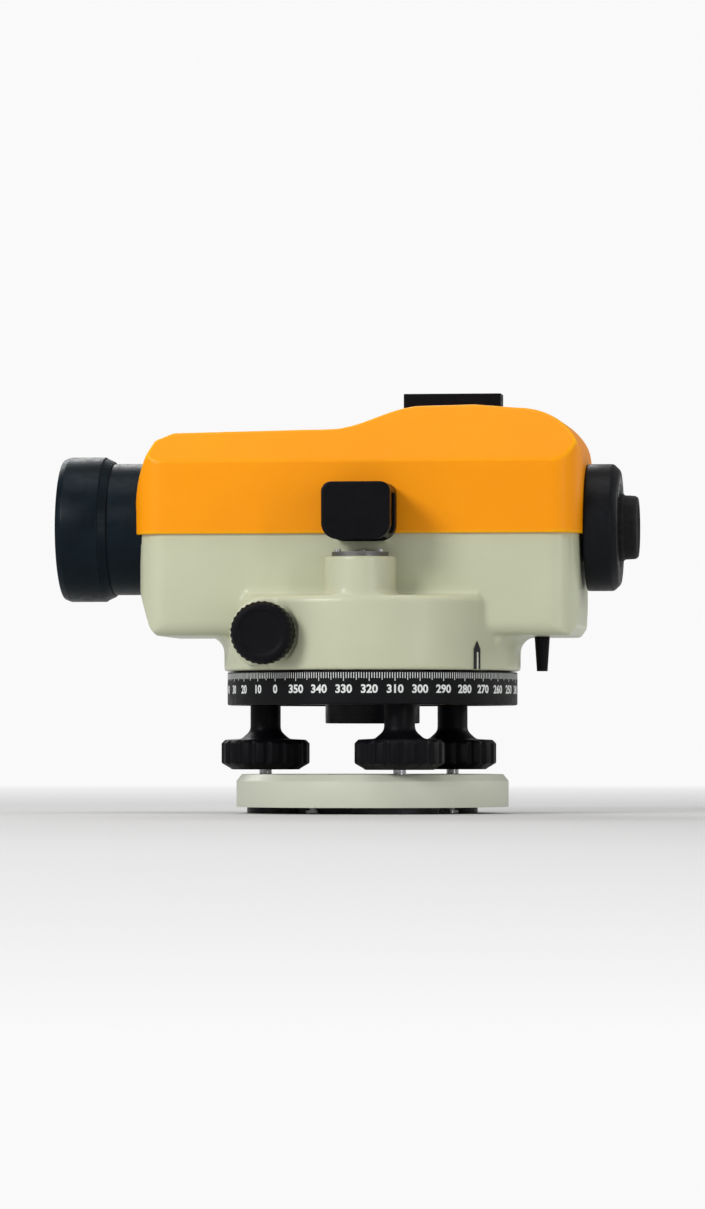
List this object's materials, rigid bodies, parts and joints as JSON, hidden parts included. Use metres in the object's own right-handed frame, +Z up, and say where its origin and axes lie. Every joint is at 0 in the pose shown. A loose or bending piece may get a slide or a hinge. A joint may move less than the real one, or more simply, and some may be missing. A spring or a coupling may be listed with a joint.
{
  "type": "automatic level",
  "caption": "Self-levelling surveying telescope on a rotating housing with a three-screw levelling base, horizontal circle, circular bubble with viewing prism, and tangent screw drive.",
  "frame": {"origin": "on the vertical axis, at the underside of the base, in the mouth of the tripod thread", "axes": "+Z up along the vertical axis, telescope along X with its objective towards -X and eyepiece towards +X, bubble and prism on the -Y side"},
  "size_m": [0.2143, 0.1196, 0.1554],
  "materials": {
    "cream_paint": "satin painted casting",
    "base_paint": "satin painted casting",
    "orange_paint": "gloss painted casting",
    "black_anodised": "satin black anodised",
    "black_plastic": "fine-grained moulding",
    "soft_rubber": "matte",
    "turned_brass": "satin turned",
    "ground_steel": "satin ground",
    "black_steel": "blackened",
    "bare_aluminium": "satin machined",
    "optical_glass": "polished, coated",
    "vial_glass": "polished",
    "white_acetal": "satin"
  },
  "bodies": {
    "base": {"base_plate": "base_paint", "spring_plate": "black_steel", "thread_bush": "turned_brass", "plate_screws": "ground_steel", "ball_cup_a": "white_acetal"},
    "cup_b": {"ball_cup_b": "white_acetal"},
    "cup_c": {"ball_cup_c": "white_acetal"},
    "tribrach": {"tribrach": "black_anodised", "foot_bushes": "turned_brass", "bearing_sleeve": "turned_brass"},
    "foot_post_a": {"foot_ball_a": "ground_steel"},
    "foot_post_b": {"foot_ball_b": "ground_steel"},
    "foot_post_c": {"foot_ball_c": "ground_steel"},
    "foot_knob_a": {"foot_screw_a": "black_plastic"},
    "foot_knob_b": {"foot_screw_b": "black_plastic"},
    "foot_knob_c": {"foot_screw_c": "black_plastic"},
    "circle": {"horizontal_circle": "black_anodised"},
    "wheel": {"worm_wheel": "turned_brass", "clutch_rings": "ground_steel"},
    "alidade": {"main_housing": "cream_paint", "top_cover": "orange_paint", "housing_screws": "ground_steel", "turret_plate": "black_anodised", "spindle": "ground_steel", "spindle_nut": "ground_steel", "worm_bushes": "turned_brass", "objective_tube": "black_anodised", "sunshade_ring": "black_anodised", "crown_lens": "optical_glass", "flint_lens": "optical_glass", "lens_retainer": "black_anodised", "guide_rods": "ground_steel", "focus_bush": "turned_brass", "compensator_frame": "black_anodised", "fixed_prisms": "optical_glass", "suspension_tapes": "ground_steel", "button_spring": "ground_steel", "reticle_cell": "black_anodised", "reticle_glass": "optical_glass", "eyepiece_flange": "black_anodised", "optical_sight": "black_anodised", "vial_holder": "bare_aluminium", "vial": "vial_glass", "vial_screws": "ground_steel", "prism_housing": "black_plastic", "bubble_prism": "optical_glass", "index_mark": "black_anodised"},
    "tangent_screw": {"worm": "ground_steel", "worm_shaft": "ground_steel", "tangent_knobs": "black_plastic"},
    "focus_drive": {"focus_shaft": "ground_steel", "focus_knob": "black_plastic"},
    "focus_slide": {"focus_carriage": "black_anodised", "focus_lens": "optical_glass"},
    "pendulum": {"pendulum": "turned_brass", "pendulum_prism": "optical_glass"},
    "button": {"check_button": "black_plastic"},
    "ocular": {"eyepiece_tube": "bare_aluminium", "eyepiece_lenses": "optical_glass"},
    "eyecup": {"eyecup": "soft_rubber"}
  },
  "joints": [
    {"name": "tilt_a", "type": "hinge", "parent": "base", "child": "cup_b", "pos_m": [0.02048, -0.00361, 0.0092], "axis": [0.1736, 0.9848, 0], "range_deg": [-2.8, 2.8]},
    {"name": "tilt_b", "type": "hinge", "parent": "cup_b", "child": "cup_c", "pos_m": [-0.00711, 0.01955, 0.0092], "axis": [-0.9397, -0.342, 0], "range_deg": [-2.8, 2.8]},
    {"name": "tilt_c", "type": "hinge", "parent": "cup_c", "child": "tribrach", "pos_m": [-0.01337, -0.01593, 0.0092], "axis": [0.766, -0.6428, 0], "range_deg": [-2.8, 2.8]},
    {"name": "foot_advance_a", "type": "slide", "parent": "tribrach", "child": "foot_post_a", "axis": [0, 0, 1], "range_m": [-0.003, 0.003]},
    {"name": "foot_advance_b", "type": "slide", "parent": "tribrach", "child": "foot_post_b", "axis": [0, 0, 1], "range_m": [-0.003, 0.003]},
    {"name": "foot_advance_c", "type": "slide", "parent": "tribrach", "child": "foot_post_c", "axis": [0, 0, 1], "range_m": [-0.003, 0.003]},
    {"name": "foot_turn_a", "type": "hinge", "parent": "foot_post_a", "child": "foot_knob_a", "pos_m": [-0.04097, 0.00722, 0.0162], "axis": [0, 0, 1], "range_deg": [-1441, 1441]},
    {"name": "foot_turn_b", "type": "hinge", "parent": "foot_post_b", "child": "foot_knob_b", "pos_m": [0.01423, -0.03909, 0.0162], "axis": [0, 0, 1], "range_deg": [-1441, 1441]},
    {"name": "foot_turn_c", "type": "hinge", "parent": "foot_post_c", "child": "foot_knob_c", "pos_m": [0.02674, 0.03187, 0.0162], "axis": [0, 0, 1], "range_deg": [-1441, 1441]},
    {"name": "circle_turn", "type": "hinge", "parent": "tribrach", "child": "circle", "pos_m": [0, 0, 0.0473], "axis": [0, 0, 1], "continuous": true},
    {"name": "hand_turn", "type": "hinge", "parent": "tribrach", "child": "wheel", "pos_m": [0, 0, 0.066], "axis": [0, 0, 1], "continuous": true},
    {"name": "fine_turn", "type": "hinge", "parent": "wheel", "child": "alidade", "pos_m": [0, 0, 0.066], "axis": [0, 0, 1], "continuous": true},
    {"name": "tangent_turn", "type": "hinge", "parent": "alidade", "child": "tangent_screw", "pos_m": [-0.0342, 0, 0.066], "axis": [0, 1, 0], "continuous": true},
    {"name": "focus_turn", "type": "hinge", "parent": "alidade", "child": "focus_drive", "pos_m": [-0.012, 0.03, 0.0955], "axis": [0, 1, 0], "range_deg": [-143.3, 143.3]},
    {"name": "focus_travel", "type": "slide", "parent": "alidade", "child": "focus_slide", "axis": [1, 0, 0], "range_m": [-0.01, 0.01]},
    {"name": "pendulum_swing", "type": "hinge", "parent": "alidade", "child": "pendulum", "pos_m": [0.035, 0, 0.134], "axis": [0, 1, 0], "range_deg": [-0.8, 0.8]},
    {"name": "button_press", "type": "slide", "parent": "alidade", "child": "button", "axis": [0, 0, 1], "range_m": [0, 0.0018], "stiffness_N_per_m": 300, "springref_m": -0.002, "deforming": ["button_spring"]},
    {"name": "diopter_travel", "type": "slide", "parent": "alidade", "child": "ocular", "axis": [1, 0, 0], "range_m": [-0.00112, 0.00112]},
    {"name": "diopter_turn", "type": "hinge", "parent": "ocular", "child": "eyecup", "pos_m": [0.0909, 0, 0.1057], "axis": [1, 0, 0], "range_deg": [-270.1, 270.1]}
  ],
  "couplings": [
    {"joint": "foot_turn_a", "follows": "foot_advance_a", "rad_per_m": 8377.6},
    {"joint": "tilt_a", "follows": "foot_advance_a", "rad_per_m": -16.026},
    {"joint": "foot_turn_b", "follows": "foot_advance_b", "rad_per_m": 8377.6},
    {"joint": "tilt_b", "follows": "foot_advance_b", "rad_per_m": -16.026},
    {"joint": "foot_turn_c", "follows": "foot_advance_c", "rad_per_m": 8377.6},
    {"joint": "tilt_c", "follows": "foot_advance_c", "rad_per_m": -16.026},
    {"joint": "tangent_turn", "follows": "fine_turn", "ratio": -80},
    {"joint": "focus_turn", "follows": "focus_travel", "rad_per_m": 250},
    {"joint": "diopter_turn", "follows": "diopter_travel", "rad_per_m": 4188.8}
  ]
}
